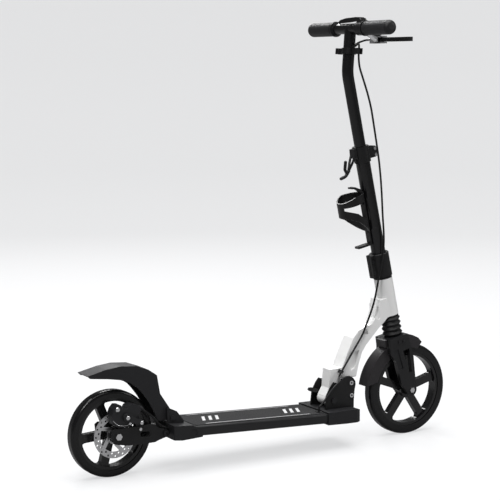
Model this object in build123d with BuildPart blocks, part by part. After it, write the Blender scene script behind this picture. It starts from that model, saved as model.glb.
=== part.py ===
"""Folding two-wheel kick scooter: big front wheel on a sprung fork, smaller rear wheel with a cable disc
brake on a sprung swingarm, hollow extruded deck, cast neck that folds back, and a telescopic stem with
pull-out grips. Millimetres, +X forward, +Y to the rider's left, +Z up, z = 0 on the ground."""
import math
import os

from build123d import *

os.makedirs("parts", exist_ok=True)

# ---------------------------------------------------------------- driving dimensions
TOUCH = 0.05                # gap between round pieces pressed together
RUNNING = 0.06              # radial clearance of a shaft that turns or slides in its bore
CLEAR = 0.5                 # gap between pieces that move past each other

WHEEL_BASE = 820.0
FRONT_WHEEL_R = 115.0
REAR_WHEEL_R = 100.0
TYRE_WIDTH = 30.0
TYRE_SHOULDER = 8.0
FRONT_RIM_R = 94.0
REAR_RIM_R = 83.0
RIM_HOOP = 8.0              # radial depth of the rim's outer hoop
RIM_WIDTH = 26.0
SPOKE_COUNT = 5
SPOKE_WIDTH = 20.0
SPOKE_DEPTH = 15.0
HUB_R = 22.0
HUB_HALF = 15.0
BEARING_R = 11.0
BEARING_WIDTH = 7.0
AXLE_R = 4.0

FRONT_AXLE_X = 402.5        # the overall length is centred on x = 0
REAR_AXLE_X = FRONT_AXLE_X - WHEEL_BASE

STEER_LEAN = 12.4           # degrees that the steering axis leans back
STEER_FOOT_X = 395.0        # where the steering axis passes the front axle's height

DECK_SLOPE = 2.2            # degrees, nose down
DECK_TOP_Z = 96.6           # at x = 0
DECK_WIDTH = 130.0
DECK_DEPTH = 24.0
DECK_WALL = 3.0
DECK_REAR = -285.0          # along the deck
DECK_FRONT = 205.0

NECK_PIVOT = (165.0, 115.0)  # x, z of the fold hinge
PIVOT_R = 5.0
PLATE_INNER = 31.0          # half the space between the folding bracket's plates
PLATE_THICK = 4.0

HEAD_LOW = 197.5            # heights along the steering axis, from the front axle's height
HEAD_HIGH = 293.0
HEAD_R = 23.0
HEAD_BORE_R = 20.0
STEERER_R = 14.3
LOWER_TUBE_R = 17.5
LOWER_TUBE_WALL = 3.1
LOWER_TUBE_TOP = 626.5
CLAMP_LOW = 298.5
CLAMP_HIGH = 358.0
CLAMP_R = 24.5
UPPER_TUBE_R = 14.0
UPPER_TUBE_WALL = 1.8
UPPER_TUBE_LOW = 490.0
STEM_BEND = 809.0

BAR_X = 229.0
BAR_Z = 1011.0
T_TUBE_R = 12.5
T_TUBE_HALF = 57.0
HANDLE_R = 11.0
HANDLE_WALL = 1.8
HANDLE_DEPTH = 40.0         # how far each handle sits in the T-tube
GRIP_R = 17.0
GRIP_END = 170.0
GRIP_GAP = 3.5

CABLE_R = 2.4

FORK_INNER = 19.0
FORK_OUTER = 31.0
CROWN_LOW = 120.0
CROWN_HIGH = 143.0
SLIDER_R = 11.5

ARM_INNER = 40.0            # rear swingarm plates
ARM_THICK = 5.0
SWING_PIVOT = (-298.0, 94.0)
FENDER_PIVOT = (-276.0, 125.0)
FENDER_HALF = 27.0
FENDER_WALL = 3.0

DISC_R = 52.0
DISC_Y = -28.0
DISC_THICK = 2.0


def lean_point(forward, height):
    """World x and z of a point given across and along the steering axis."""
    lean = math.radians(STEER_LEAN)
    x = STEER_FOOT_X + forward * math.cos(lean) - height * math.sin(lean)
    z = FRONT_WHEEL_R + forward * math.sin(lean) + height * math.cos(lean)
    return x, z


def lean_units():
    lean = math.radians(STEER_LEAN)
    return (math.cos(lean), 0, math.sin(lean)), (-math.sin(lean), 0, math.cos(lean))


lean_forward, lean_up = lean_units()
steer_foot = (STEER_FOOT_X, 0, FRONT_WHEEL_R)
steer = Plane(origin=steer_foot, x_dir=lean_forward, z_dir=lean_up)
steer_side = Plane(origin=steer_foot, x_dir=lean_forward, z_dir=(0, -1, 0))

slope = math.radians(DECK_SLOPE)
deck_along = (math.cos(slope), 0, -math.sin(slope))
deck_up = (math.sin(slope), 0, math.cos(slope))
deck_origin = Vector(0, 0, DECK_TOP_Z)
deck_side = Plane(origin=deck_origin, x_dir=deck_along, z_dir=(0, -1, 0))
deck_top = Plane(origin=deck_origin, x_dir=deck_along, z_dir=deck_up)


def deck_section(along):
    """Plane across the deck: local x is +Y, local y is the deck's up."""
    origin = deck_origin + Vector(*deck_along) * along
    return Plane(origin=origin, x_dir=(0, 1, 0), z_dir=deck_along)


def side_plane(y):
    """Plane at +Y = y, seen from the right: local x is X, local y is Z, extrusions go towards -Y."""
    return Plane.XZ.offset(-y)


def axle_plane(x, z):
    """Plane through an axle line: local x is X, local y is Y."""
    return Plane(origin=(x, 0, z), x_dir=(1, 0, 0), z_dir=(0, 0, 1))


def write(piece, name):
    piece.part.label = name
    export_step(piece.part, f"parts/{name}.step")


# ---------------------------------------------------------------- wheels
def wheel(end, axle_x, wheel_r, rim_r, first_spoke, rotor):
    """Tyre, spoked rim and pair of ball bearings on one axle."""
    plane = axle_plane(axle_x, wheel_r)
    axis = Axis((axle_x, 0, wheel_r), (0, 1, 0))
    with BuildPart() as tyre:
        with BuildSketch(plane) as section:
            with Locations(((wheel_r + rim_r) / 2, 0)):
                Rectangle(wheel_r - rim_r - TOUCH, TYRE_WIDTH)
            fillet(section.vertices().group_by(Axis.X)[-1], TYRE_SHOULDER)
        revolve(axis=axis)
    write(tyre, f"{end}_tyre")

    hoop_inner = rim_r - RIM_HOOP
    turn = math.radians(first_spoke)
    side = Plane(origin=(axle_x, 0, wheel_r), x_dir=(math.cos(turn), 0, math.sin(turn)), z_dir=(0, -1, 0))
    with BuildPart() as rim:
        with BuildSketch(side):
            Circle(rim_r - TOUCH)
            Circle(hoop_inner, mode=Mode.SUBTRACT)
        extrude(amount=RIM_WIDTH / 2, both=True)
        with BuildSketch(side):
            Circle(HUB_R)
        extrude(amount=HUB_HALF, both=True)
        with BuildSketch(side):
            Circle(hoop_inner + 1)
            with BuildSketch(side, mode=Mode.SUBTRACT) as windows:
                Circle(hoop_inner)
                Circle(HUB_R, mode=Mode.SUBTRACT)
                with PolarLocations(hoop_inner / 2, SPOKE_COUNT):
                    Rectangle(hoop_inner + 8, SPOKE_WIDTH, mode=Mode.SUBTRACT)
                fillet(windows.vertices(), 7)
        extrude(amount=SPOKE_DEPTH / 2, both=True)
        if rotor:
            with BuildSketch(side.offset(HUB_HALF - 1)):
                Circle(HUB_R - 2)
            extrude(amount=-DISC_Y - DISC_THICK / 2 - HUB_HALF + 1)
        hub_end = -DISC_Y - DISC_THICK / 2 if rotor else HUB_HALF
        with BuildSketch(side.offset(hub_end)):
            Circle(BEARING_R)
        extrude(amount=-hub_end - HUB_HALF, mode=Mode.SUBTRACT)
    write(rim, f"{end}_rim")

    with BuildPart() as bearings:
        for near_end in (-hub_end, HUB_HALF - BEARING_WIDTH):
            with BuildSketch(Plane.XZ.offset(-near_end)):
                with Locations((axle_x, wheel_r)):
                    Circle(BEARING_R - TOUCH)
                    Circle(AXLE_R + RUNNING, mode=Mode.SUBTRACT)
            extrude(amount=-BEARING_WIDTH)
    write(bearings, f"{end}_bearings")
    return hub_end


front_hub_end = wheel("front", FRONT_AXLE_X, FRONT_WHEEL_R, FRONT_RIM_R, first_spoke=16, rotor=False)
rear_hub_end = wheel("rear", REAR_AXLE_X, REAR_WHEEL_R, REAR_RIM_R, first_spoke=40, rotor=True)

rear_side = Plane(origin=(REAR_AXLE_X, 0, REAR_WHEEL_R), x_dir=(1, 0, 0), z_dir=(0, -1, 0))
DISC_BAND = 15.0
DISC_BOLT_PCD_R = 15.0
DISC_HOLES = 16
DISC_HOLE_R = 2.3
with BuildPart() as brake_disc:
    with BuildSketch(rear_side.offset(-DISC_Y - DISC_THICK / 2)):
        Circle(DISC_R)
        Circle(DISC_R - DISC_BAND, mode=Mode.SUBTRACT)
        Circle(HUB_R - 2)
        with PolarLocations((HUB_R + DISC_R - DISC_BAND) / 2, 5):
            Rectangle(DISC_R - DISC_BAND - HUB_R + 8, 9, rotation=25)
        Circle(AXLE_R + 3, mode=Mode.SUBTRACT)
        with PolarLocations(DISC_BOLT_PCD_R, 5):
            Circle(1.6, mode=Mode.SUBTRACT)
        with PolarLocations(DISC_R - 4.5, DISC_HOLES):
            Circle(DISC_HOLE_R, mode=Mode.SUBTRACT)
        with PolarLocations(DISC_R - 10.5, DISC_HOLES, start_angle=180 / DISC_HOLES):
            Circle(DISC_HOLE_R, mode=Mode.SUBTRACT)
    extrude(amount=DISC_THICK)
write(brake_disc, "brake_disc")

with BuildPart() as disc_bolts:
    with BuildSketch(rear_side.offset(-DISC_Y + DISC_THICK / 2)):
        with PolarLocations(DISC_BOLT_PCD_R, 5):
            RegularPolygon(3, 6)
    extrude(amount=2)
write(disc_bolts, "disc_bolts")

# ---------------------------------------------------------------- front fork
AXLE_FORWARD = (FRONT_AXLE_X - STEER_FOOT_X) * math.cos(math.radians(STEER_LEAN))
AXLE_HEIGHT = -(FRONT_AXLE_X - STEER_FOOT_X) * math.sin(math.radians(STEER_LEAN))
CROWN_REAR = -32.0
CROWN_FRONT = 24.0
DROPOUT_R = 15.0
with BuildPart() as fork_casting:
    with BuildSketch(steer_side):
        with BuildLine():
            Polyline((CROWN_REAR, CROWN_HIGH), (-34, 119), (-37, 106), (-24, 81), (-19, 22), (-8, AXLE_HEIGHT),
                     (22, AXLE_HEIGHT), (24, 20), (30, 82), (27, 108), (CROWN_FRONT, CROWN_HIGH), close=True)
        make_face()
        with Locations((AXLE_FORWARD, AXLE_HEIGHT)):
            Circle(DROPOUT_R)
    extrude(amount=FORK_OUTER, both=True)
    with BuildSketch(steer_side):
        with BuildLine():
            Polyline((-60, -40), (60, -40), (60, CROWN_LOW), (-60, CROWN_LOW), close=True)
        make_face()
    extrude(amount=FORK_INNER, both=True, mode=Mode.SUBTRACT)
    with BuildSketch(steer_side):
        with BuildLine():
            Polyline((2, 104), (21, 105), (17, 44), (9, 44), close=True)
        make_face()
    extrude(amount=FORK_OUTER + 1, both=True, mode=Mode.SUBTRACT)
    with BuildSketch(steer_side.offset(FORK_OUTER - 2)):
        with BuildLine():
            Polyline((-26, 112), (-12, 112), (-6, 60), (-15, 60), close=True)
        make_face()
    extrude(amount=4, mode=Mode.SUBTRACT)
    with BuildSketch(steer.offset(CROWN_LOW)):
        Circle(SLIDER_R + TOUCH)
    extrude(amount=CROWN_HIGH - CROWN_LOW + 1, mode=Mode.SUBTRACT)
    with BuildSketch(Plane.XZ.offset(-FORK_OUTER - 1)):
        with Locations((FRONT_AXLE_X, FRONT_WHEEL_R)):
            Circle(AXLE_R + TOUCH)
    extrude(amount=2 * FORK_OUTER + 2, mode=Mode.SUBTRACT)
    chamfer(fork_casting.faces().sort_by(Axis.Y)[0].edges().filter_by(GeomType.LINE).group_by(Axis.X)[0], 2)
write(fork_casting, "fork_casting")

SLIDER_TOP = 290.0
with BuildPart() as fork_slider:
    with BuildSketch(steer.offset(CROWN_LOW + 1)):
        Circle(SLIDER_R)
        Circle(SLIDER_R - 2.5, mode=Mode.SUBTRACT)
    extrude(amount=SLIDER_TOP - CROWN_LOW - 1)
write(fork_slider, "fork_slider")

SPRING_WIRE_R = 1.4
SPRING_R = SLIDER_R + SPRING_WIRE_R + 0.5
SPRING_LOW = CROWN_HIGH + 0.4
SPRING_HIGH = HEAD_LOW - 1.5
with BuildPart() as suspension_spring:
    turns_height = SPRING_HIGH - SPRING_LOW - 2 * SPRING_WIRE_R
    spring_foot = steer.from_local_coords((0, 0, SPRING_LOW + SPRING_WIRE_R))
    with BuildLine() as coil:
        Helix(pitch=turns_height / 8, height=turns_height, radius=SPRING_R, center=spring_foot, direction=lean_up)
    with BuildSketch(Plane(origin=coil.line @ 0, z_dir=coil.line % 0)):
        Circle(SPRING_WIRE_R)
    sweep(path=coil.line, is_frenet=True)
write(suspension_spring, "suspension_spring")

BOOT_LOW = CROWN_HIGH + 0.1
BOOT_HIGH = HEAD_LOW - 3.8
BOOT_FOLDS = 4
BOOT_OUTER_R = 25.0
BOOT_INNER_R = 20.5
BOOT_WALL = 1.6
with BuildPart() as fork_boot:
    fold = (BOOT_HIGH - BOOT_LOW) / (2 * BOOT_FOLDS)
    outline = [(BOOT_INNER_R + (BOOT_OUTER_R - BOOT_INNER_R) * (i % 2), BOOT_LOW + i * fold)
               for i in range(2 * BOOT_FOLDS + 1)]
    inner = [(r - BOOT_WALL, h) for r, h in outline]
    with BuildSketch(steer_side):
        with BuildLine():
            Polyline(*outline, *reversed(inner), close=True)
        make_face()
    revolve(axis=Axis(steer_foot, lean_up))
write(fork_boot, "fork_boot")

FENDER_GAP = 11.0
FRONT_FENDER_R = FRONT_WHEEL_R + FENDER_GAP
FRONT_FENDER_HALF = 18.5
with BuildPart() as front_fender:
    with BuildSketch(Plane.XZ):
        with Locations((FRONT_AXLE_X, FRONT_WHEEL_R)):
            Circle(FRONT_FENDER_R + 3)
            Circle(FRONT_WHEEL_R - 16, mode=Mode.SUBTRACT)
    extrude(amount=FRONT_FENDER_HALF, both=True)
    with BuildSketch(Plane.XZ):
        with Locations((FRONT_AXLE_X, FRONT_WHEEL_R)):
            Circle(FRONT_FENDER_R)
    extrude(amount=FRONT_FENDER_HALF - 2.5, both=True, mode=Mode.SUBTRACT)
    crown_rear = [lean_point(CROWN_REAR - 0.1, h) for h in (170, 60)]
    with BuildSketch(Plane.XZ):
        with BuildLine():
            Polyline(crown_rear[0], crown_rear[1], (330, 143), (301, 141), (268, 132), (240, 134), (240, 260),
                     close=True)
        make_face()
    extrude(amount=FRONT_FENDER_HALF + 1, both=True, mode=Mode.INTERSECT)
    with BuildSketch(steer_side):
        with BuildLine():
            Polyline((CROWN_REAR - 0.1, CROWN_HIGH - 1), (CROWN_REAR - 6, CROWN_HIGH - 2), (CROWN_REAR - 6, 122),
                     (CROWN_REAR - 0.1, 126), close=True)
        make_face()
    extrude(amount=FRONT_FENDER_HALF, both=True)
    with BuildSketch(Plane.XZ):
        with BuildLine():
            Polyline(lean_point(CROWN_FRONT + 4.6, 104), lean_point(CROWN_FRONT + 0.1, 142), (412, 252), (430, 244),
                     (441, 232), (428, 216), close=True)
        make_face()
    extrude(amount=FRONT_FENDER_HALF, both=True)
    with BuildSketch(Plane.XZ):
        with Locations((FRONT_AXLE_X, FRONT_WHEEL_R)):
            Circle(FRONT_WHEEL_R + 4)
    extrude(amount=FRONT_FENDER_HALF - 2.5, both=True, mode=Mode.SUBTRACT)
    add(fork_casting.part, mode=Mode.SUBTRACT)
write(front_fender, "front_fender")

with BuildPart() as fork_fasteners:
    with BuildSketch(Plane.XZ.offset(-FORK_OUTER - 3.5)):
        with Locations((FRONT_AXLE_X, FRONT_WHEEL_R)):
            Circle(AXLE_R)
    extrude(amount=2 * FORK_OUTER + 7)
    for y in (FORK_OUTER + 4, -FORK_OUTER):
        with BuildSketch(Plane.XZ.offset(-y)):
            with Locations((FRONT_AXLE_X, FRONT_WHEEL_R)):
                RegularPolygon(7, 6)
        extrude(amount=4)
    for y in (FORK_INNER - 0.2, -HUB_HALF - 0.4):
        with BuildSketch(Plane.XZ.offset(-y)):
            with Locations((FRONT_AXLE_X, FRONT_WHEEL_R)):
                Circle(7)
                Circle(AXLE_R - 0.5, mode=Mode.SUBTRACT)
        extrude(amount=FORK_INNER - HUB_HALF - 0.6)
    for side in (1, -1):
        with BuildSketch(steer_side.offset(FORK_OUTER if side > 0 else -FORK_OUTER - 2.5)):
            with Locations((-5, 129), (8, 127)):
                Circle(3.5)
        extrude(amount=2.5)
write(fork_fasteners, "fork_fasteners")

# ---------------------------------------------------------------- neck and head tube
NECK_HALF = 21.0
NECK_FOOT_HALF = 17.0
NECK_KNUCKLE_R = 15.0
NECK_POCKET = 7.0
with BuildPart() as neck_casting:
    with BuildSketch(Plane.XZ):
        with BuildLine():
            Polyline((330, 352), (311, 348), (297, 305), (284, 290), (267, 287), (248, 279), (231, 261), (210, 218),
                     (199, 190), (197, 168), (240, 166), (247, 194), (257, 224), (269, 241), (286, 258), (303, 276),
                     (318, 289), (326, 296), (332, 303), (350, 308), close=True)
        make_face()
    extrude(amount=NECK_HALF, both=True)
    with BuildSketch(Plane.XZ):
        with BuildLine():
            Polyline((200, 190), (167, 187), (163, 143), (152, 124), (152, 112), (172, 102), (180, 116), (197, 161.5),
                     (243, 164), (244, 172), (230, 188), close=True)
        make_face()
        with Locations(NECK_PIVOT):
            Circle(NECK_KNUCKLE_R)
    extrude(amount=NECK_FOOT_HALF, both=True)
    pockets = [
        [(297, 334), (307, 332), (309, 300), (295, 303)],
        [(263, 281), (273, 279), (277, 266), (262, 268)],
        [(222, 229), (249, 229), (239, 188), (226, 180), (207, 202)],
    ]
    for pocket in pockets:
        for start in (-NECK_HALF, NECK_HALF - NECK_POCKET):
            with BuildSketch(Plane.XZ.offset(start)) as recess:
                with BuildLine():
                    Polyline(*pocket, close=True)
                make_face()
                fillet(recess.vertices(), 2)
            extrude(amount=NECK_POCKET, mode=Mode.SUBTRACT)
    with BuildSketch(steer.offset(HEAD_LOW - 60)):
        Circle(BOOT_OUTER_R + 2)
    extrude(amount=60, mode=Mode.SUBTRACT)
    with BuildSketch(steer.offset(HEAD_LOW - 1)):
        Circle(HEAD_R + TOUCH)
    extrude(amount=HEAD_HIGH, mode=Mode.SUBTRACT)
    with BuildSketch(Plane.XZ.offset(-NECK_HALF)):
        with Locations(NECK_PIVOT):
            Circle(PIVOT_R + RUNNING)
    extrude(amount=2 * NECK_HALF, mode=Mode.SUBTRACT)
write(neck_casting, "neck_casting")

with BuildPart() as head_tube:
    with BuildSketch(steer.offset(HEAD_LOW)):
        Circle(HEAD_R)
        Circle(HEAD_BORE_R, mode=Mode.SUBTRACT)
    extrude(amount=HEAD_HIGH - HEAD_LOW)
write(head_tube, "head_tube")

CUP_FLANGE = 3.0
CUP_DEPTH = 8.0
with BuildPart() as headset_cups:
    for face, outward in ((HEAD_LOW, -1), (HEAD_HIGH, 1)):
        with BuildSketch(steer.offset(face)):
            Circle(HEAD_R - 0.5)
            Circle(STEERER_R + RUNNING, mode=Mode.SUBTRACT)
        extrude(amount=outward * CUP_FLANGE)
        with BuildSketch(steer.offset(face)):
            Circle(HEAD_BORE_R - TOUCH)
            Circle(STEERER_R + RUNNING, mode=Mode.SUBTRACT)
        extrude(amount=-outward * CUP_DEPTH)
write(headset_cups, "headset_cups")

# ---------------------------------------------------------------- telescopic stem
with BuildPart() as steerer_tube:
    with BuildSketch(steer.offset(HEAD_LOW - CUP_FLANGE + 0.5)):
        Circle(STEERER_R)
        Circle(SLIDER_R + RUNNING, mode=Mode.SUBTRACT)
    extrude(amount=CLAMP_HIGH - HEAD_LOW - 6)
write(steerer_tube, "steerer_tube")

with BuildPart() as lower_stem_tube:
    with BuildSketch(steer.offset(CLAMP_LOW + 1)):
        Circle(LOWER_TUBE_R)
        Circle(LOWER_TUBE_R - LOWER_TUBE_WALL, mode=Mode.SUBTRACT)
    extrude(amount=LOWER_TUBE_TOP - CLAMP_LOW - 1)
    with BuildSketch(steer.offset(LOWER_TUBE_TOP - 30)):
        with Locations((LOWER_TUBE_R, 0)):
            Rectangle(2 * LOWER_TUBE_WALL + 6, 2)
    extrude(amount=31, mode=Mode.SUBTRACT)
write(lower_stem_tube, "lower_stem_tube")

with BuildPart() as stem_clamp:
    with BuildSketch(steer.offset(CLAMP_LOW)):
        Circle(CLAMP_R)
        Circle(STEERER_R + 0.3, mode=Mode.SUBTRACT)
    extrude(amount=1)
    with BuildSketch(steer.offset(CLAMP_LOW + 1)):
        Circle(CLAMP_R)
        with Locations((-CLAMP_R, 0)):
            Rectangle(14, 20)
        Circle(LOWER_TUBE_R + TOUCH, mode=Mode.SUBTRACT)
    extrude(amount=CLAMP_HIGH - CLAMP_LOW - 1)
    with BuildSketch(steer.offset(CLAMP_LOW + 1)):
        with Locations((-CLAMP_R - 2, 0)):
            Rectangle(20, 2)
    extrude(amount=CLAMP_HIGH - CLAMP_LOW, mode=Mode.SUBTRACT)
    chamfer(stem_clamp.faces().sort_by(Axis(steer_foot, lean_up))[-1].outer_wire().edges(), 1.2)
write(stem_clamp, "stem_clamp")

COLLAR_LOW = 589.0
COLLAR_HIGH = 628.0
COLLAR_R = 20.5
EAR_FRONT = 42.0
EAR_HALF = 8.0
EAR_HEIGHTS = (594.0, 621.0)
with BuildPart() as height_collar:
    with BuildSketch(steer.offset(COLLAR_LOW)):
        Circle(COLLAR_R)
    extrude(amount=LOWER_TUBE_TOP - COLLAR_LOW)
    with BuildSketch(steer.offset(LOWER_TUBE_TOP)):
        Circle(COLLAR_R)
    extrude(amount=COLLAR_HIGH - LOWER_TUBE_TOP)
    with BuildSketch(steer_side):
        with BuildLine():
            Polyline((10, EAR_HEIGHTS[0]), (EAR_FRONT - 6, EAR_HEIGHTS[0]), (EAR_FRONT, EAR_HEIGHTS[0] + 6),
                     (EAR_FRONT, EAR_HEIGHTS[1] - 5), (EAR_FRONT - 4, EAR_HEIGHTS[1]), (10, EAR_HEIGHTS[1] + 6),
                     close=True)
        make_face()
    extrude(amount=EAR_HALF, both=True)
    with BuildSketch(steer.offset(COLLAR_LOW)):
        Circle(LOWER_TUBE_R + TOUCH)
        with Locations((EAR_FRONT / 2 + 8, 0)):
            Rectangle(EAR_FRONT - 8, 2)
    extrude(amount=LOWER_TUBE_TOP - COLLAR_LOW, mode=Mode.SUBTRACT)
    with BuildSketch(steer.offset(LOWER_TUBE_TOP - 1)):
        Circle(UPPER_TUBE_R + 0.4)
    extrude(amount=5, mode=Mode.SUBTRACT)
write(height_collar, "height_collar")

HOOK_HALF = 9.0
HOOK_ROD_R = 3.0
with BuildPart() as bag_hook:
    with BuildSketch(steer_side):
        with BuildLine():
            Polyline((-COLLAR_R + 1, 626), (-COLLAR_R - 5, 626), (-COLLAR_R - 7, 606), (-COLLAR_R + 1, 600), close=True)
        make_face()
    extrude(amount=HOOK_HALF + 2, both=True)
    with BuildSketch(steer.offset(COLLAR_LOW)):
        Circle(COLLAR_R + TOUCH)
    extrude(amount=COLLAR_HIGH - COLLAR_LOW, mode=Mode.SUBTRACT)
    hook_join = (-46.5, 0.0, 575.4)
    for side in (1, -1):
        with BuildLine(Plane.XZ) as arm:
            start = steer.from_local_coords((-COLLAR_R - 3.5, side * HOOK_HALF, 612))
            middle = steer.from_local_coords((-35, side * HOOK_HALF * 0.7, 594))
            FilletPolyline(steer.from_local_coords(hook_join), middle, start, radius=20)
        with BuildSketch(Plane(origin=arm.line @ 0, z_dir=arm.line % 0)):
            Circle(HOOK_ROD_R)
        sweep(path=arm.line)
    with BuildLine(Plane.XZ) as tip:
        FilletPolyline(steer.from_local_coords((-43.5, 0, 578.5)), steer.from_local_coords((-56, 0, 566.5)),
                       steer.from_local_coords((-70, 0, 564.5)), radius=14)
    with BuildSketch(Plane(origin=tip.line @ 0, z_dir=tip.line % 0)):
        Circle(HOOK_ROD_R + 1)
    sweep(path=tip.line)
    with Locations(tip.line @ 1):
        Sphere(HOOK_ROD_R + 1)
    with BuildLine(Plane.XZ) as finger:
        FilletPolyline(steer.from_local_coords((-51, 0, 571.5)), steer.from_local_coords((-55, 0, 583)),
                       steer.from_local_coords((-49.5, 0, 600.5)), radius=8)
    with BuildSketch(Plane(origin=finger.line @ 0, z_dir=finger.line % 0)):
        Circle(HOOK_ROD_R + 0.8)
    sweep(path=finger.line)
    with Locations(finger.line @ 1):
        Sphere(HOOK_ROD_R + 0.8)
write(bag_hook, "bag_hook")

CAGE_R = 34.0
CAGE_WALL = 3.0
CAGE_CENTRE = -LOWER_TUBE_R - 4.0 - CAGE_R
CAGE_PLATE = -LOWER_TUBE_R - 2.0
CAGE_BOLTS = (420.0, 490.0)
with BuildPart() as bottle_cage:
    with BuildSketch(steer.offset(385)):
        with Locations((CAGE_CENTRE, 0)):
            Circle(CAGE_R)
            Circle(CAGE_R - CAGE_WALL, mode=Mode.SUBTRACT)
    extrude(amount=140)
    with BuildSketch(steer_side):
        with BuildLine():
            Polyline((-95, 473), (-60, 455), (-15, 411), (-15, 433), (-60, 476), (-86, 488), (-86, 494), (-15, 500),
                     (-15, 519), (-60, 517), (-95, 503), close=True)
        make_face()
    extrude(amount=CAGE_R + 1, both=True, mode=Mode.INTERSECT)
    with BuildSketch(steer_side):
        with BuildLine():
            Polyline((CAGE_PLATE, 384), (CAGE_PLATE, 519), (-27, 528), (-40, 536), (-50, 537), (-50, 533),
                     (-39, 532), (-28, 523), (CAGE_PLATE - CAGE_WALL, 515), (CAGE_PLATE - CAGE_WALL, 389),
                     (-60, 389), (-60, 384), close=True)
        make_face()
    extrude(amount=9, both=True)
    for height in CAGE_BOLTS:
        with BuildSketch(Plane(origin=steer.from_local_coords((CAGE_PLATE + 1, 0, height)),
                               x_dir=(0, 1, 0), z_dir=lean_forward)):
            Circle(2.6)
        extrude(amount=-CAGE_WALL - 2, mode=Mode.SUBTRACT)
        with BuildSketch(Plane(origin=steer.from_local_coords((CAGE_PLATE - CAGE_WALL, 0, height)),
                               x_dir=(0, 1, 0), z_dir=lean_forward)):
            Circle(5)
        extrude(amount=-8, mode=Mode.SUBTRACT)
write(bottle_cage, "bottle_cage")

with BuildPart() as stem_bolts:
    for height in CAGE_BOLTS:
        start = steer.from_local_coords((-LOWER_TUBE_R - 0.3, 0, height))
        along = Plane(origin=start, x_dir=(0, 1, 0), z_dir=lean_forward)
        with BuildSketch(along):
            Circle(2.5)
        extrude(amount=-CAGE_WALL - 2)
        with BuildSketch(along.offset(CAGE_PLATE - CAGE_WALL + LOWER_TUBE_R + 0.3 - 0.1)):
            Circle(4.5)
        extrude(amount=-2.5)
    for height in (599.5, 615.0):
        with BuildSketch(steer_side.offset(EAR_HALF)):
            with Locations((EAR_FRONT - 7, height)):
                Circle(4)
        extrude(amount=3)
        with BuildSketch(steer_side.offset(-EAR_HALF - 3)):
            with Locations((EAR_FRONT - 7, height)):
                RegularPolygon(4, 6)
        extrude(amount=3)
    for height in (CLAMP_LOW + 15, CLAMP_HIGH - 16):
        with BuildSketch(steer_side.offset(10)):
            with Locations((-CLAMP_R - 3, height)):
                Circle(3.5)
        extrude(amount=2.5)
write(stem_bolts, "stem_bolts")

# ---------------------------------------------------------------- handlebar
stem_low = lean_point(0, UPPER_TUBE_LOW)
stem_bend = lean_point(0, STEM_BEND)
with BuildPart() as upper_stem_tube:
    with BuildLine(Plane.XZ) as stem_path:
        FilletPolyline(stem_low, stem_bend, (BAR_X, BAR_Z), radius=100)
    with BuildSketch(Plane(origin=stem_path.line @ 0, z_dir=stem_path.line % 0)):
        Circle(UPPER_TUBE_R)
        Circle(UPPER_TUBE_R - UPPER_TUBE_WALL, mode=Mode.SUBTRACT)
    sweep(path=stem_path.line)
    with BuildSketch(Plane.XZ.offset(-T_TUBE_HALF)):
        with Locations((BAR_X, BAR_Z)):
            Circle(T_TUBE_R + TOUCH)
    extrude(amount=2 * T_TUBE_HALF, mode=Mode.SUBTRACT)
write(upper_stem_tube, "upper_stem_tube")

BUTTON_R = 3.5
BUTTON_Y = 48.0
with BuildPart() as t_tube:
    with BuildSketch(Plane.XZ.offset(-T_TUBE_HALF)):
        with Locations((BAR_X, BAR_Z)):
            Circle(T_TUBE_R)
            Circle(HANDLE_R + 0.4, mode=Mode.SUBTRACT)
    extrude(amount=2 * T_TUBE_HALF)
    with BuildSketch(Plane.XY.offset(BAR_Z)):
        with Locations((BAR_X, BUTTON_Y)):
            Circle(BUTTON_R + CLEAR)
        with Locations((BAR_X, BUTTON_Y + 10)):
            Rectangle(2 * (BUTTON_R + CLEAR), 20)
        with Locations((BAR_X, -T_TUBE_HALF + 12)):
            Rectangle(2, 26)
    extrude(amount=T_TUBE_R + 1, mode=Mode.SUBTRACT)
write(t_tube, "t_tube")

for name, side in (("left", 1), ("right", -1)):
    inner_end = T_TUBE_HALF - HANDLE_DEPTH
    grip_start = T_TUBE_HALF + GRIP_GAP
    outward = Plane(origin=(BAR_X, 0, BAR_Z), x_dir=(1, 0, 0), z_dir=(0, side, 0))
    with BuildPart() as handle_tube:
        with BuildSketch(outward.offset(inner_end)):
            Circle(HANDLE_R)
            Circle(HANDLE_R - HANDLE_WALL, mode=Mode.SUBTRACT)
        extrude(amount=GRIP_END - 6 - inner_end)
        if side > 0:
            with BuildSketch(Plane.XY.offset(BAR_Z)):
                with Locations((BAR_X, BUTTON_Y)):
                    Circle(BUTTON_R + RUNNING)
            extrude(amount=HANDLE_R + 1, mode=Mode.SUBTRACT)
    write(handle_tube, f"{name}_handle_tube")

    with BuildPart() as grip:
        with BuildSketch(outward.offset(grip_start)):
            Circle(GRIP_R + 1.5)
        extrude(amount=5)
        with BuildSketch(outward.offset(grip_start + 5)):
            Circle(GRIP_R - 2)
        extrude(amount=4)
        with BuildSketch(outward.offset(grip_start + 9)):
            Circle(GRIP_R)
        extrude(amount=GRIP_END - grip_start - 9)
        fillet(grip.faces().sort_by(Axis.Y)[-1 if side > 0 else 0].edges(), 11)
        with BuildSketch(outward.offset(grip_start - 1)):
            Circle(HANDLE_R + TOUCH)
        extrude(amount=GRIP_END - grip_start - 4.9, mode=Mode.SUBTRACT)
    write(grip, f"{name}_grip")

with BuildPart() as left_button:
    with BuildSketch(Plane.XY.offset(BAR_Z + 5.5)):
        with Locations((BAR_X, BUTTON_Y)):
            Circle(BUTTON_R)
    extrude(amount=T_TUBE_R - 5.5 + 2.2)
    fillet(left_button.faces().sort_by(Axis.Z)[-1].edges(), 1.2)
write(left_button, "left_button")

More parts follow.
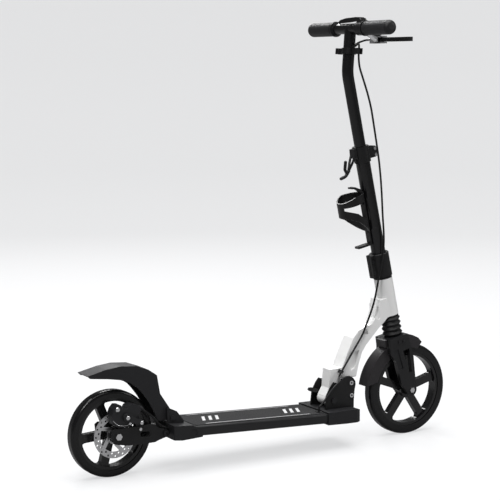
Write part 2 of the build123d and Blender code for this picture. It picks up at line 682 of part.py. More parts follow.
CLIP_BOTTOM = 950.5
CLIP_TOP = 964.5
CLIP_Y = 42.0
CLIP_R = 9.0
CLIP_BORE_R = 3.2
clip_x = BAR_X - (BAR_Z - CLIP_BOTTOM) * (BAR_X - stem_bend[0]) / (BAR_Z - stem_bend[1])
upper_stem_dir = Vector(BAR_X - stem_bend[0], 0, BAR_Z - stem_bend[1]).normalized()
clip_plane = Plane(origin=(clip_x, 0, CLIP_BOTTOM), x_dir=(upper_stem_dir.Z, 0, -upper_stem_dir.X),
                   z_dir=tuple(upper_stem_dir))
with BuildPart() as clip_collar:
    with BuildSketch(clip_plane):
        Circle(UPPER_TUBE_R + 3.5)
        Rectangle(8, 2 * (CLIP_Y - CLIP_R + 3))
        with Locations((0, CLIP_Y), (0, -CLIP_Y)):
            Circle(CLIP_R)
        Circle(UPPER_TUBE_R + TOUCH + 0.1, mode=Mode.SUBTRACT)
        with Locations((0, CLIP_Y), (0, -CLIP_Y)):
            Circle(CLIP_BORE_R, mode=Mode.SUBTRACT)
        with Locations((0, CLIP_Y + CLIP_R), (0, -CLIP_Y - CLIP_R)):
            Rectangle(4.4, 2 * CLIP_R - 3, mode=Mode.SUBTRACT)
    extrude(amount=CLIP_TOP - CLIP_BOTTOM)
write(clip_collar, "clip_collar")

LEVER_PIVOT = (BAR_X + 56.0, -56.0)
LEVER_Z = (976.0, 994.0)
LEVER_MID = (LEVER_Z[0] + LEVER_Z[1]) / 2
BAR_CLAMP_Y = (-57.5, -37.0)
QR_PIVOT_Y = -47.0
QR_PIVOT_Z = 1031.5
with BuildPart() as brake_lever_mount:
    with BuildSketch(Plane.XZ.offset(-BAR_CLAMP_Y[1])):
        with Locations((BAR_X, BAR_Z)):
            Circle(T_TUBE_R + 4.5)
        with BuildLine():
            Polyline((BAR_X + 8, BAR_Z - 2), (BAR_X + 16, BAR_Z + 4), (BAR_X + 50, LEVER_Z[1] + 2), (BAR_X + 50, LEVER_Z[0] + 1),
                     (BAR_X + 12, BAR_Z - 12), close=True)
        make_face()
    extrude(amount=BAR_CLAMP_Y[1] - BAR_CLAMP_Y[0])
    with BuildSketch(Plane.XY.offset(LEVER_Z[0])) as body:
        with Locations((BAR_X + 55, -38)):
            Rectangle(20, 52)
        fillet(body.vertices(), 6)
    extrude(amount=LEVER_Z[1] - LEVER_Z[0])
    with BuildSketch(Plane.XY.offset(LEVER_Z[0] + 3.4)):
        with Locations((BAR_X + 55, -66)):
            Rectangle(30, 34)
    extrude(amount=LEVER_Z[1] - LEVER_Z[0] - 6.8, mode=Mode.SUBTRACT)
    with BuildSketch(Plane.XY.offset(LEVER_Z[0] + 1)):
        with Locations(LEVER_PIVOT):
            Circle(2.5)
    extrude(amount=LEVER_Z[1] - LEVER_Z[0] - 2)
    with BuildSketch(Plane.XZ.offset(14)):
        with Locations((BAR_X + 54, LEVER_MID)):
            Circle(4)
    extrude(amount=-9)
    with BuildSketch(Plane.YZ.offset(BAR_X - 9)):
        with BuildLine():
            Polyline((-55, BAR_Z + 10), (-55, QR_PIVOT_Z - 1), (-50, QR_PIVOT_Z + 4), (-44, QR_PIVOT_Z + 4),
                     (-39, QR_PIVOT_Z - 1), (-39, BAR_Z + 10), close=True)
        make_face()
    extrude(amount=18)
    with BuildSketch(Plane.YZ.offset(BAR_X - 5.4)):
        with Locations((QR_PIVOT_Y, QR_PIVOT_Z)):
            Rectangle(30, 15)
    extrude(amount=10.8, mode=Mode.SUBTRACT)
    with BuildSketch(Plane.YZ.offset(BAR_X - 7)):
        with Locations((QR_PIVOT_Y, QR_PIVOT_Z)):
            Circle(2)
    extrude(amount=14)
    with BuildSketch(Plane.XZ.offset(-BAR_CLAMP_Y[1] - 1)):
        with Locations((BAR_X, BAR_Z)):
            Circle(T_TUBE_R + TOUCH)
    extrude(amount=BAR_CLAMP_Y[1] - BAR_CLAMP_Y[0] + 2, mode=Mode.SUBTRACT)
write(brake_lever_mount, "brake_lever_mount")

lever_outline = [(-5.5, -59), (5.5, -59), (12, -74), (19, -112), (20, -148), (16, -153), (10, -153), (6, -148),
                 (6, -112), (0, -78)]
with BuildPart() as brake_lever:
    with BuildSketch(Plane.XY.offset(LEVER_Z[0] + 3.9)):
        with Locations(LEVER_PIVOT):
            Circle(6.2)
        with BuildLine():
            Polyline(*[(LEVER_PIVOT[0] + forward, y) for forward, y in lever_outline], close=True)
        make_face()
        with Locations(LEVER_PIVOT):
            Circle(2.5 + RUNNING, mode=Mode.SUBTRACT)
    extrude(amount=LEVER_Z[1] - LEVER_Z[0] - 7.8)
write(brake_lever, "brake_lever")

release_outline = [(-52, -1), (-49, 5.5), (-30, 6.5), (12, 5), (38, 1), (45, -3.5), (43, -6.5), (10, -5.5),
                   (-36, -2.5), (-44, -4.5), (-50, -4.5)]
with BuildPart() as release_lever:
    with BuildSketch(Plane.YZ.offset(BAR_X - 5)):
        with BuildLine():
            Polyline(*[(y, QR_PIVOT_Z + height) for y, height in release_outline], close=True)
        make_face()
        with Locations((QR_PIVOT_Y, QR_PIVOT_Z)):
            Circle(2 + RUNNING, mode=Mode.SUBTRACT)
    extrude(amount=10)
write(release_lever, "release_lever")

# ---------------------------------------------------------------- deck
def deck_profile(grow):
    """Rounded outline of the deck across its length, grown outwards by grow."""
    with Locations((0, -DECK_DEPTH / 2)):
        return RectangleRounded(DECK_WIDTH + 2 * grow, DECK_DEPTH + 2 * grow, 6 + grow)


CELL_PITCH = (DECK_WIDTH - DECK_WALL) / 4
CABLE_Y = -40.0
FRONT_CAP_START = 129.0
REAR_CAP_END = -250.0
with BuildPart() as deck_extrusion:
    with BuildSketch(deck_section(DECK_REAR)):
        deck_profile(0)
        for cell in (-1.5, -0.5, 0.5, 1.5):
            with Locations((cell * CELL_PITCH, -DECK_DEPTH / 2)):
                Rectangle(CELL_PITCH - DECK_WALL, DECK_DEPTH - 2 * DECK_WALL, mode=Mode.SUBTRACT)
    extrude(amount=DECK_FRONT - DECK_REAR)
    with BuildSketch(deck_top.offset(-DECK_WALL - 1)):
        with Locations((119, CABLE_Y)):
            Circle(4.5)
    extrude(amount=DECK_WALL + 2, mode=Mode.SUBTRACT)
write(deck_extrusion, "deck_extrusion")

TAPE_FRONT = 125.0
TAPE_REAR = REAR_CAP_END + 20
TAPE_WIDTH = 116.0
with BuildPart() as grip_tape:
    with BuildSketch(deck_top) as tape:
        with Locations(((TAPE_FRONT + TAPE_REAR) / 2, 0)):
            Rectangle(TAPE_FRONT - TAPE_REAR, TAPE_WIDTH)
        fillet(tape.vertices(), 6)
        with Locations((TAPE_FRONT, CABLE_Y)):
            Rectangle(28, 17, mode=Mode.SUBTRACT)
    extrude(amount=1)
write(grip_tape, "grip_tape")

CAP_HALF = 68.0
PLATE_OUTLINE = [(142, 91.4), (142, 105), (145, 130), (157, 151), (165, 160), (174, 157), (181, 157), (191, 164),
                 (203, 171), (211, 171), (221, 166), (228, 157), (229, 149), (226, 134), (224, 110), (224, 88.3)]
with BuildPart() as front_deck_cap:
    with BuildSketch(Plane.XZ):
        with BuildLine():
            Polyline((FRONT_CAP_START, 94.9), (216, 94.5), (226, 91), (231, 84), (231, 68), (225, 62), (182, 62.5),
                     (FRONT_CAP_START, 64.5), close=True)
        make_face()
    extrude(amount=CAP_HALF, both=True)
    fillet(front_deck_cap.edges().filter_by(lambda e: abs(e.center().Y) < 1e-6).group_by(Axis.X)[-1], 3)
    with BuildSketch(Plane.XY):
        with BuildLine():
            Polyline((211, -90), (270, -90), (270, 90), (211, 90), (211, 69), (225, 60), (232, 48), (232, -48),
                     (225, -60), (211, -69), close=True)
        make_face()
    extrude(amount=150, mode=Mode.SUBTRACT)
    with BuildSketch(Plane.XZ):
        with BuildLine():
            Polyline((204, 90.5), (216, 90.5), (223, 88), (227, 82), (227, 70), (222, 66), (204, 67), close=True)
        make_face()
    extrude(amount=50, both=True, mode=Mode.SUBTRACT)
    with BuildSketch(deck_section(DECK_REAR)):
        deck_profile(TOUCH)
    extrude(amount=DECK_FRONT - DECK_REAR + TOUCH, mode=Mode.SUBTRACT)
    for y in (-PLATE_INNER, PLATE_INNER + PLATE_THICK):
        with BuildSketch(side_plane(y + 0.2)):
            with BuildLine():
                Polyline((141.5, 84), (224.6, 84), (224.6, 120), (141.5, 120), close=True)
            make_face()
        extrude(amount=PLATE_THICK + 0.4, mode=Mode.SUBTRACT)
write(front_deck_cap, "front_deck_cap")

bracket_bolts = ((215, 154), (216, 123))
for name, y in (("right", -PLATE_INNER), ("left", PLATE_INNER + PLATE_THICK)):
    with BuildPart() as fold_bracket:
        with BuildSketch(side_plane(y)):
            with BuildLine():
                Polyline(*PLATE_OUTLINE, close=True)
            make_face()
            with Locations(*bracket_bolts):
                Circle(3 + TOUCH, mode=Mode.SUBTRACT)
            with Locations(NECK_PIVOT):
                Circle(PIVOT_R + TOUCH, mode=Mode.SUBTRACT)
        extrude(amount=PLATE_THICK)
    write(fold_bracket, f"fold_bracket_{name}")

REAR_CAP_REAR = -288.5
REAR_CAP_FRONT = -214.0
CABLE_EXIT = (-37.2, 102.4)
with BuildPart() as rear_deck_cap:
    with BuildSketch(Plane.XZ):
        with BuildLine():
            Polyline((REAR_CAP_REAR, 113), (REAR_CAP_REAR, 80), (-268, 77.5), (REAR_CAP_FRONT - 2, 79.8),
                     (REAR_CAP_FRONT, 86), (-226, 100), (REAR_CAP_END + 10, 109.5), close=True)
        make_face()
    extrude(amount=CAP_HALF, both=True)
    fillet(rear_deck_cap.edges().filter_by(Axis.Z), 3)
    for y in (-PLATE_INNER, PLATE_INNER + PLATE_THICK):
        with BuildSketch(side_plane(y)):
            with BuildLine():
                Polyline((REAR_CAP_REAR, 108), (-289.5, 148), (-280, 146), (-265, 139), (-247, 115), (-247, 106),
                         close=True)
            make_face()
        extrude(amount=PLATE_THICK)
    with BuildSketch(deck_section(DECK_REAR - TOUCH)):
        deck_profile(TOUCH)
    extrude(amount=DECK_FRONT - DECK_REAR, mode=Mode.SUBTRACT)
    with BuildSketch(Plane.YZ.offset(REAR_CAP_REAR - 1)):
        with Locations((0, 95)):
            Rectangle(46, 24)
        with Locations(CABLE_EXIT):
            Circle(3.8)
    extrude(amount=8, mode=Mode.SUBTRACT)
    with BuildSketch(Plane.XZ.offset(-50)):
        with Locations(FENDER_PIVOT):
            Circle(3 + TOUCH)
    extrude(amount=100, mode=Mode.SUBTRACT)
    for y in (-CAP_HALF + 1.2, CAP_HALF + 1):
        with BuildSketch(side_plane(y)):
            with Locations((-238, 92)):
                Circle(8.5)
        extrude(amount=2.2, mode=Mode.SUBTRACT)
write(rear_deck_cap, "rear_deck_cap")

MOUNT_HALF = 22.0
LUG_R = 10.0
BUSH_R = 7.5
with BuildPart() as rear_mount:
    with BuildSketch(deck_side):
        with BuildLine():
            Polyline((DECK_REAR - TOUCH, -3), (DECK_REAR - 6, -3), (-298, -5), (-304, -12), (-298, -23),
                     (DECK_REAR - TOUCH, -23), close=True)
        make_face()
    extrude(amount=MOUNT_HALF, both=True)
    with BuildSketch(Plane.XZ.offset(-MOUNT_HALF)):
        with Locations(SWING_PIVOT):
            Circle(LUG_R)
    extrude(amount=2 * MOUNT_HALF)
    with BuildSketch(Plane.XZ.offset(-MOUNT_HALF)):
        with Locations(SWING_PIVOT):
            Circle(BUSH_R)
    extrude(amount=2 * MOUNT_HALF, mode=Mode.SUBTRACT)
write(rear_mount, "rear_mount")

with BuildPart() as swing_bush:
    with BuildSketch(Plane.XZ.offset(-MOUNT_HALF)):
        with Locations(SWING_PIVOT):
            Circle(BUSH_R - TOUCH)
            Circle(AXLE_R + TOUCH, mode=Mode.SUBTRACT)
    extrude(amount=2 * MOUNT_HALF)
write(swing_bush, "swing_bush")

STAND_PIVOT = (-60.0, 50.0, 65.0)
STAND_TILT = 20.0
tilt = math.radians(STAND_TILT)
stand = Plane(origin=STAND_PIVOT, x_dir=(1, 0, 0), z_dir=(0, -math.cos(tilt), -math.sin(tilt)))
with BuildPart() as kickstand_bracket:
    with BuildSketch(stand):
        with Locations((0, 6)):
            Rectangle(20, 26)
    extrude(amount=9, both=True)
    with BuildSketch(stand):
        with Locations((0, -2)):
            Rectangle(22, 22)
    extrude(amount=5, both=True, mode=Mode.SUBTRACT)
    with BuildSketch(stand):
        Circle(2.5)
    extrude(amount=8, both=True)
    with BuildSketch(deck_top.offset(-DECK_DEPTH)):
        with Locations((-60, 40)):
            Rectangle(80, 80)
    extrude(amount=30, mode=Mode.SUBTRACT)
write(kickstand_bracket, "kickstand_bracket")

with BuildPart() as kickstand_leg:
    with BuildSketch(stand):
        Circle(7)
        with Locations((-31, 0)):
            Rectangle(62, 8)
        with Locations((-62, 0)):
            Circle(4)
        Circle(2.5 + RUNNING, mode=Mode.SUBTRACT)
    extrude(amount=4.5, both=True)
    fillet(kickstand_leg.edges().filter_by(Axis.X), 2)
write(kickstand_leg, "kickstand_leg")

# ---------------------------------------------------------------- fold lever
with BuildPart() as fold_lever:
    with BuildSketch(side_plane(30)):
        with Locations(NECK_PIVOT):
            Circle(12)
        with BuildLine():
            Polyline((157, 120), (170, 125), (164, 132), (141, 139), (133, 139), (130, 135), (133, 131), (154, 126),
                     close=True)
        make_face()
        with Locations(NECK_PIVOT):
            Circle(PIVOT_R + RUNNING, mode=Mode.SUBTRACT)
    extrude(amount=10)
write(fold_lever, "fold_lever")

# ---------------------------------------------------------------- rear swingarm and brake
ARM_HALF = ARM_INNER + ARM_THICK
with BuildPart() as swingarm:
    for y in (-ARM_INNER, ARM_HALF):
        with BuildSketch(side_plane(y)):
            with BuildLine():
                Polyline((-435, 113), (-428, 118), (-389, 118.5), (-364, 117), (-341, 119), (-326, 117), (-316, 108),
                         (-300, 102.5), (-296, 85.5), (-316, 80), (-326, 76.5), (-354, 76), (-394, 77), (-426, 83),
                         (-433, 92), close=True)
            make_face()
            with Locations(SWING_PIVOT):
                Circle(8.5)
            with Locations((-350, 98)):
                SlotOverall(26, 12, rotation=-4, mode=Mode.SUBTRACT)
            with Locations((REAR_AXLE_X, REAR_WHEEL_R)):
                Circle(AXLE_R + TOUCH, mode=Mode.SUBTRACT)
            with Locations(SWING_PIVOT):
                Circle(AXLE_R + RUNNING, mode=Mode.SUBTRACT)
        extrude(amount=ARM_THICK)
    for y in (-MOUNT_HALF - CLEAR, ARM_INNER):
        with BuildSketch(side_plane(y)):
            with Locations(SWING_PIVOT):
                Circle(8)
                Circle(AXLE_R + RUNNING, mode=Mode.SUBTRACT)
        extrude(amount=ARM_INNER - MOUNT_HALF - CLEAR)
write(swingarm, "swingarm")

with BuildPart() as rear_axle:
    with BuildSketch(Plane.XZ.offset(-ARM_HALF - 4)):
        with Locations((REAR_AXLE_X, REAR_WHEEL_R)):
            Circle(AXLE_R)
    extrude(amount=2 * ARM_HALF + 8)
    for y in (ARM_HALF + 5, -ARM_HALF):
        with BuildSketch(side_plane(y)):
            with Locations((REAR_AXLE_X, REAR_WHEEL_R)):
                RegularPolygon(8, 6)
        extrude(amount=5)
    for near, far in ((HUB_HALF + 0.2, ARM_INNER), (-ARM_INNER, -rear_hub_end - 0.2)):
        with BuildSketch(side_plane(far)):
            with Locations((REAR_AXLE_X, REAR_WHEEL_R)):
                Circle(6)
                Circle(AXLE_R - 0.5, mode=Mode.SUBTRACT)
        extrude(amount=far - near)
    with BuildSketch(side_plane(-ARM_HALF)):
        with Locations((-363, 111)):
            Circle(3.5)
    extrude(amount=2.5)
write(rear_axle, "rear_axle")

CALIPER_PIVOT = (-399.0, 143.0)
with BuildPart() as brake_caliper:
    caliper_outline = [(-420, 122), (-432, 130), (-434, 148), (-428, 163), (-420, 172), (-411, 171), (-409, 163),
                       (-403, 161), (-396, 162), (-392, 168), (-382, 171), (-368, 166), (-362, 158), (-364, 150),
                       (-374, 141), (-384, 126), (-396, 120)]
    with BuildSketch(side_plane(-18.5)):
        with BuildLine():
            Polyline(*caliper_outline, close=True)
        make_face()
    extrude(amount=29.5)
    with BuildSketch(rear_side.offset(26)):
        Circle(DISC_R + 2.5)
    extrude(amount=4, mode=Mode.SUBTRACT)
    with BuildSketch(side_plane(-35)):
        with BuildLine():
            Polyline((-374, 141), (-366, 151), (-356, 118), (-357, 104), (-369, 104), (-372, 118), close=True)
        make_face()
    extrude(amount=4.7)
    with BuildSketch(side_plane(-48)):
        with Locations(CALIPER_PIVOT):
            Circle(4)
    extrude(amount=9)
    with BuildSketch(Plane(origin=(-366, -38, 163), x_dir=(0, 1, 0), z_dir=(0.8, 0, -0.6))):
        Circle(4)
    extrude(amount=14)
write(brake_caliper, "brake_caliper")

with BuildPart() as caliper_arm:
    with BuildSketch(side_plane(-48.3)):
        with Locations(CALIPER_PIVOT):
            Circle(9)
        with BuildLine():
            Polyline((-404, 136), (-366, 122.5), (-361, 131), (-394, 150.5), close=True)
        make_face()
        with Locations((-365, 128)):
            Circle(7)
            Circle(3, mode=Mode.SUBTRACT)
        with Locations(CALIPER_PIVOT):
            Circle(4 + RUNNING, mode=Mode.SUBTRACT)
    extrude(amount=7)
write(caliper_arm, "caliper_arm")

with BuildPart() as rear_fender:
    with BuildSketch(Plane.XZ):
        with BuildLine():
            Polyline((-314, 131), (-308, 120.5), (-282, 118.5), (-268, 118), (-268, 130), (-275, 140), (-303, 182),
                     (-311, 226), (-333, 241), (-363, 252), (-402, 255), (-437, 251), (-483, 240.5), (-476, 234),
                     (-432, 229), (-403, 224), (-380, 216), (-361, 203))
            ThreePointArc((-361, 203), (-336, 172), (-314, 131))
        make_face()
    extrude(amount=FENDER_HALF, both=True)
    with BuildSketch(Plane.XZ):
        with BuildLine():
            Polyline((-490, 237.5), (-477, 237.5), (-437, 247.7), (-402, 251.8), (-363.7, 248.8), (-335, 238.2),
                     (-314, 224), (-306, 181), (-278.5, 140), (-264, 134), (-264, 112), (-292, 112), (-292, 124),
                     (-304, 124), (-304, 100), (-490, 100), close=True)
        make_face()
    extrude(amount=FENDER_HALF - FENDER_WALL, both=True, mode=Mode.SUBTRACT)
    for y in (30.5, -FENDER_HALF + FENDER_WALL):
        with BuildSketch(side_plane(y)):
            with Locations(FENDER_PIVOT):
                Circle(7)
        extrude(amount=30.5 - FENDER_HALF + FENDER_WALL)
    with BuildSketch(Plane.XZ.offset(-FENDER_HALF - 5)):
        with Locations(FENDER_PIVOT):
            Circle(3 + RUNNING)
    extrude(amount=2 * FENDER_HALF + 10, mode=Mode.SUBTRACT)
write(rear_fender, "rear_fender")

# ---------------------------------------------------------------- bolts carried by the deck
BRACKET_HALF = PLATE_INNER + PLATE_THICK
through_bolts = [
    # x, z, shank radius, half length, head radius, head thickness
    (*bracket_bolts[0], 3.0, BRACKET_HALF, 5.5, 3.0),
    (*bracket_bolts[1], 3.0, BRACKET_HALF, 5.5, 3.0),
    (*NECK_PIVOT, PIVOT_R, BRACKET_HALF, 6.8, 3.0),
    (*FENDER_PIVOT, 3.0, BRACKET_HALF, 6.0, 2.5),
    (*SWING_PIVOT, AXLE_R, ARM_HALF + 0.4, 7.0, 3.5),
]
spacers = [
    # x, z, bore radius, outer radius, lower y, upper y
    (*bracket_bolts[0], 3.0, 8.0, -PLATE_INNER, PLATE_INNER),
    (*bracket_bolts[1], 3.0, 8.0, -PLATE_INNER, PLATE_INNER),
    (*NECK_PIVOT, PIVOT_R, 9.0, -PLATE_INNER, -NECK_FOOT_HALF - 0.4),
    (*NECK_PIVOT, PIVOT_R, 9.0, NECK_FOOT_HALF + 0.4, 19.6),
]
with BuildPart() as deck_bolts:
    for x, z, shank, half, head, thick in through_bolts:
        with BuildSketch(Plane.XZ.offset(-half - 0.5)):
            with Locations((x, z)):
                Circle(shank)
        extrude(amount=2 * half + 1)
        for y in (half + thick, -half):
            with BuildSketch(side_plane(y)):
                with Locations((x, z)):
                    Circle(head)
            extrude(amount=thick)
write(deck_bolts, "deck_bolts")

with BuildPart() as bracket_spacers:
    for x, z, bore, outer, low, high in spacers:
        with BuildSketch(side_plane(high)):
            with Locations((x, z)):
                Circle(outer)
                Circle(bore + TOUCH, mode=Mode.SUBTRACT)
        extrude(amount=high - low)
write(bracket_spacers, "bracket_spacers")

# ---------------------------------------------------------------- brake cable
CLIP_POINT = (192.0, -27.0, 182.0)
CLIP_DIR = (0.58, 0, 0.815)
with BuildPart() as cable_clip:
    with BuildSketch(Plane(origin=CLIP_POINT, x_dir=(0, 1, 0), z_dir=CLIP_DIR)):
        Circle(5)
        with Locations((6, 0)):
            Rectangle(8, 7)
        Circle(CABLE_R + CLEAR, mode=Mode.SUBTRACT)
    extrude(amount=3.5, both=True)
    with BuildSketch(side_plane(-NECK_FOOT_HALF)):
        with Locations((CLIP_POINT[0], CLIP_POINT[2])):
            Rectangle(60, 60)
    extrude(amount=-30, mode=Mode.SUBTRACT)
write(cable_clip, "cable_clip")

CABLE_ENTRY = (119.0, -40.0)
with BuildPart() as cable_grommets:
    entry_z = DECK_TOP_Z - CABLE_ENTRY[0] * math.tan(slope)
    entry = Plane(origin=(CABLE_ENTRY[0], CABLE_ENTRY[1], entry_z), x_dir=deck_along, z_dir=deck_up)
    with BuildSketch(entry):
        Circle(7)
        Circle(CABLE_R + CLEAR, mode=Mode.SUBTRACT)
    extrude(amount=2)
    with BuildSketch(Plane.YZ.offset(REAR_CAP_REAR - 1)):
        with Locations(CABLE_EXIT):
            Circle(5)
            Circle(3.6, mode=Mode.SUBTRACT)
    extrude(amount=1)
write(cable_grommets, "cable_grommets")


def cable(name, points):
    """One length of the brake cable, bent as gently as its points allow."""
    points = [Vector(*point) for point in points]
    radii = []
    for before, corner, after in zip(points, points[1:], points[2:]):
        turn = math.radians((corner - before).get_angle(after - corner))
        run = min((corner - before).length, (after - corner).length)
        radii.append(0.45 * run / math.tan(turn / 2))
    with BuildPart() as piece:
        with BuildLine() as route:
            FilletPolyline(*points, radius=radii)
        with BuildSketch(Plane(origin=route.line @ 0, z_dir=route.line % 0)):
            Circle(CABLE_R)
        sweep(path=route.line)
    share = piece.part.volume / (math.pi * CABLE_R**2 * route.wire().length)
    print(name, "length", round(route.wire().length), "tightest bend", round(min(radii), 1), "volume", round(share, 4))
    write(piece, name)


cable("brake_cable_handlebar", [
    (283, -5, 985), (283, 14, 985), (274, 32, 979), (254, 29, 969), (245, 6, 968), (241, -14, 974), (231, -31, 978),
    (226, -42, 970), (224.2, -42, 945), (227, -42, 920), (238, -41.5, 893), (252, -41, 858), (264, -39.5, 823),
    (273.5, -37, 784),
])
cable("brake_cable_stem", [
    (273.5, -37, 784), (283, -34.5, 745), (296, -30, 692), (304, -26.5, 648), (309.4, -24, 606), (314, -21.5, 560),
    (318, -21.8, 515), (316, -25.5, 484), (308, -28.5, 448), (300.5, -29, 412), (295.5, -28.5, 387),
])
cable("brake_cable_neck", [
    (295.5, -28.5, 387), (290.5, -28, 362), (285, -28.5, 344), (277, -28, 321), (265.5, -28.3, 297),
    (256, -27, 273), (245, -26.8, 256), (225, -27.2, 229), (205, -27, 200.3), (184, -27, 170.7), (176, -38.5, 158),
    (160, -39, 147), (145, -40, 131), (131, -41, 116), (119, -40, 105), (119, -40, 96),
])
cable("brake_cable_deck", [
    (119, -40, 96), (119, -40, 87), (100, -43, 80.8), (35, -46, 83.3), (-30, -43.5, 85.8), (-95, -46.5, 88.2),
    (-160, -43.5, 90.7), (-220, -45, 93.2), (-264, -40, 97.5), (-283, -37.5, 100.2), (-293, -37.25, 104.1),
])
cable("brake_cable_rear", [
    (-293, -37.25, 104.1), (-303, -37, 108), (-315, -37, 118), (-329, -37.2, 135), (-342, -38, 145),
    (-354.8, -38, 154.6),
])
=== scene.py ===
"""Looks of the folding kick scooter: finishes for every CAD piece, the details too fine for CAD, soft studio
light on a plain pale floor, and the camera."""
import math
import bmesh
import bpy
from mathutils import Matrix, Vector


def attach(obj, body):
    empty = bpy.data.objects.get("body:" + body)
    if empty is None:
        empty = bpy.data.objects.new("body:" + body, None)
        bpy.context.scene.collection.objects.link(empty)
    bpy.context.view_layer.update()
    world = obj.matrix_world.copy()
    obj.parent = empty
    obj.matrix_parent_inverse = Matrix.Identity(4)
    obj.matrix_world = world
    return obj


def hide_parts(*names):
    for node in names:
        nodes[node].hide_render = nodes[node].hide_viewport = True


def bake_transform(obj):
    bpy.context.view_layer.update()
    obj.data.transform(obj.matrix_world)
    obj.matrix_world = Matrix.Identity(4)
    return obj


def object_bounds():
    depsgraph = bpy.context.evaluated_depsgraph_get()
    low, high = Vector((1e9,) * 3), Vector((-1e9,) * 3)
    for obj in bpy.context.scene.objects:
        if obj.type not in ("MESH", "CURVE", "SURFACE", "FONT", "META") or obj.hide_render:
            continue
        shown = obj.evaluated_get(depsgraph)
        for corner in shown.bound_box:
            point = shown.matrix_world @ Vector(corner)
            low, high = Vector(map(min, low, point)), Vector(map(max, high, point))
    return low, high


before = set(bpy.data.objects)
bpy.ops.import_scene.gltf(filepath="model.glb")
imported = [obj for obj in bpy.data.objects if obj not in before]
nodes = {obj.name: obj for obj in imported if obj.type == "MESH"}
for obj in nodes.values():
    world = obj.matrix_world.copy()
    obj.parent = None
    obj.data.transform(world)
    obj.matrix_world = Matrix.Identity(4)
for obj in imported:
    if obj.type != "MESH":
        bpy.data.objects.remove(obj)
cad_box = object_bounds()


# ------------------------------------------------------------------ stem and bar tubes, deck
# Drawn and extruded aluminium in a semi-gloss black powder coat: a faint orange peel, and slightly duller
# patches where hands and shoes rub it.
RUB = 0.08              # how far the gloss wanders either way
RUB_SCALE = 14.0
COAT_ROUGHNESS = 0.08
SPECULAR = 0.32
GRAIN_DEPTH = 0.0004


def finish(name, colour, roughness, metallic=0.0, grain=0.0, grain_scale=900.0, coat=0.0, tone=0.15):
    """A procedural finish: base colour with a soft tone change, uneven gloss, and a fine bump."""
    material = bpy.data.materials.new(name)
    material.use_nodes = True
    tree = material.node_tree
    shader = tree.nodes["Principled BSDF"]
    shader.inputs["Metallic"].default_value = metallic
    shader.inputs["Coat Weight"].default_value = coat
    shader.inputs["Coat Roughness"].default_value = COAT_ROUGHNESS
    shader.inputs["Specular IOR Level"].default_value = SPECULAR
    place = tree.nodes.new("ShaderNodeTexCoord")
    patches = tree.nodes.new("ShaderNodeTexNoise")
    patches.inputs["Scale"].default_value = RUB_SCALE
    patches.inputs["Detail"].default_value = 5.0
    tree.links.new(place.outputs["Object"], patches.inputs["Vector"])
    tone_map = tree.nodes.new("ShaderNodeMapRange")
    tone_map.inputs["To Min"].default_value = 1.0 - tone
    tone_map.inputs["To Max"].default_value = 1.0 + tone
    tree.links.new(patches.outputs["Fac"], tone_map.inputs["Value"])
    mix = tree.nodes.new("ShaderNodeVectorMath")
    mix.name = "tone"
    mix.operation = "SCALE"
    mix.inputs[0].default_value = colour
    tree.links.new(tone_map.outputs["Result"], mix.inputs["Scale"])
    tree.links.new(mix.outputs["Vector"], shader.inputs["Base Color"])
    gloss = tree.nodes.new("ShaderNodeMapRange")
    gloss.inputs["To Min"].default_value = max(roughness - RUB, 0.04)
    gloss.inputs["To Max"].default_value = min(roughness + RUB, 1.0)
    tree.links.new(patches.outputs["Fac"], gloss.inputs["Value"])
    tree.links.new(gloss.outputs["Result"], shader.inputs["Roughness"])
    if grain:
        fine = tree.nodes.new("ShaderNodeTexNoise")
        fine.inputs["Scale"].default_value = grain_scale
        fine.inputs["Detail"].default_value = 3.0
        tree.links.new(place.outputs["Object"], fine.inputs["Vector"])
        bump = tree.nodes.new("ShaderNodeBump")
        bump.inputs["Strength"].default_value = grain
        bump.inputs["Distance"].default_value = GRAIN_DEPTH
        tree.links.new(fine.outputs["Fac"], bump.inputs["Height"])
        tree.links.new(bump.outputs["Normal"], shader.inputs["Normal"])
    return material


def dress(material, *names):
    """Puts one finish on whole CAD pieces."""
    for name in names:
        mesh = nodes[name].data
        mesh.materials.clear()
        mesh.materials.append(material)


def dress_where(material, name, chosen):
    """Puts a second finish on the faces of a CAD piece whose centres chosen() picks."""
    mesh = nodes[name].data
    mesh.materials.append(material)
    index = len(mesh.materials) - 1
    for face in mesh.polygons:
        if chosen(face.center):
            face.material_index = index


tube_black = finish("tube_black", (0.006, 0.006, 0.0065), 0.24, grain=0.06, coat=0.2)
dress(tube_black, "lower_stem_tube", "upper_stem_tube", "t_tube")
deck_black = finish("deck_black", (0.008, 0.008, 0.009), 0.36, grain=0.12, coat=0.2)
dress(deck_black, "deck_extrusion")

# ------------------------------------------------------------------ brackets, clamps and swingarm
# Pressed steel plates and die castings in a satin black coat, a little rougher than the tubes they hold: the
# folding bracket, the stem's clamps, the swingarm and the levers.
satin_black = finish("satin_black", (0.008, 0.008, 0.0085), 0.4, grain=0.16)
dress(satin_black, "fold_bracket_right", "fold_bracket_left", "bracket_spacers", "kickstand_bracket",
      "kickstand_leg", "rear_mount", "headset_cups", "stem_clamp", "height_collar", "swingarm",
      "release_lever", "brake_lever")

# ------------------------------------------------------------------ front fork
# Die-cast fork in a satin coat of its own, its two legs joined under the boot by one crown. The coat is
# slightly glossier than the brackets'.
fork_black = finish("fork_black", (0.011, 0.011, 0.012), 0.36, grain=0.18)
dress(fork_black, "fork_casting")

# ------------------------------------------------------------------ neck and head tube
# Die-cast aluminium with the head tube pressed in, all in gloss white paint under a clear coat.
# They are the scooter's only white pieces.
neck_white = finish("neck_white", (0.9, 0.9, 0.895), 0.24, grain=0.04, coat=0.5, tone=0.02)
dress(neck_white, "neck_casting", "head_tube")

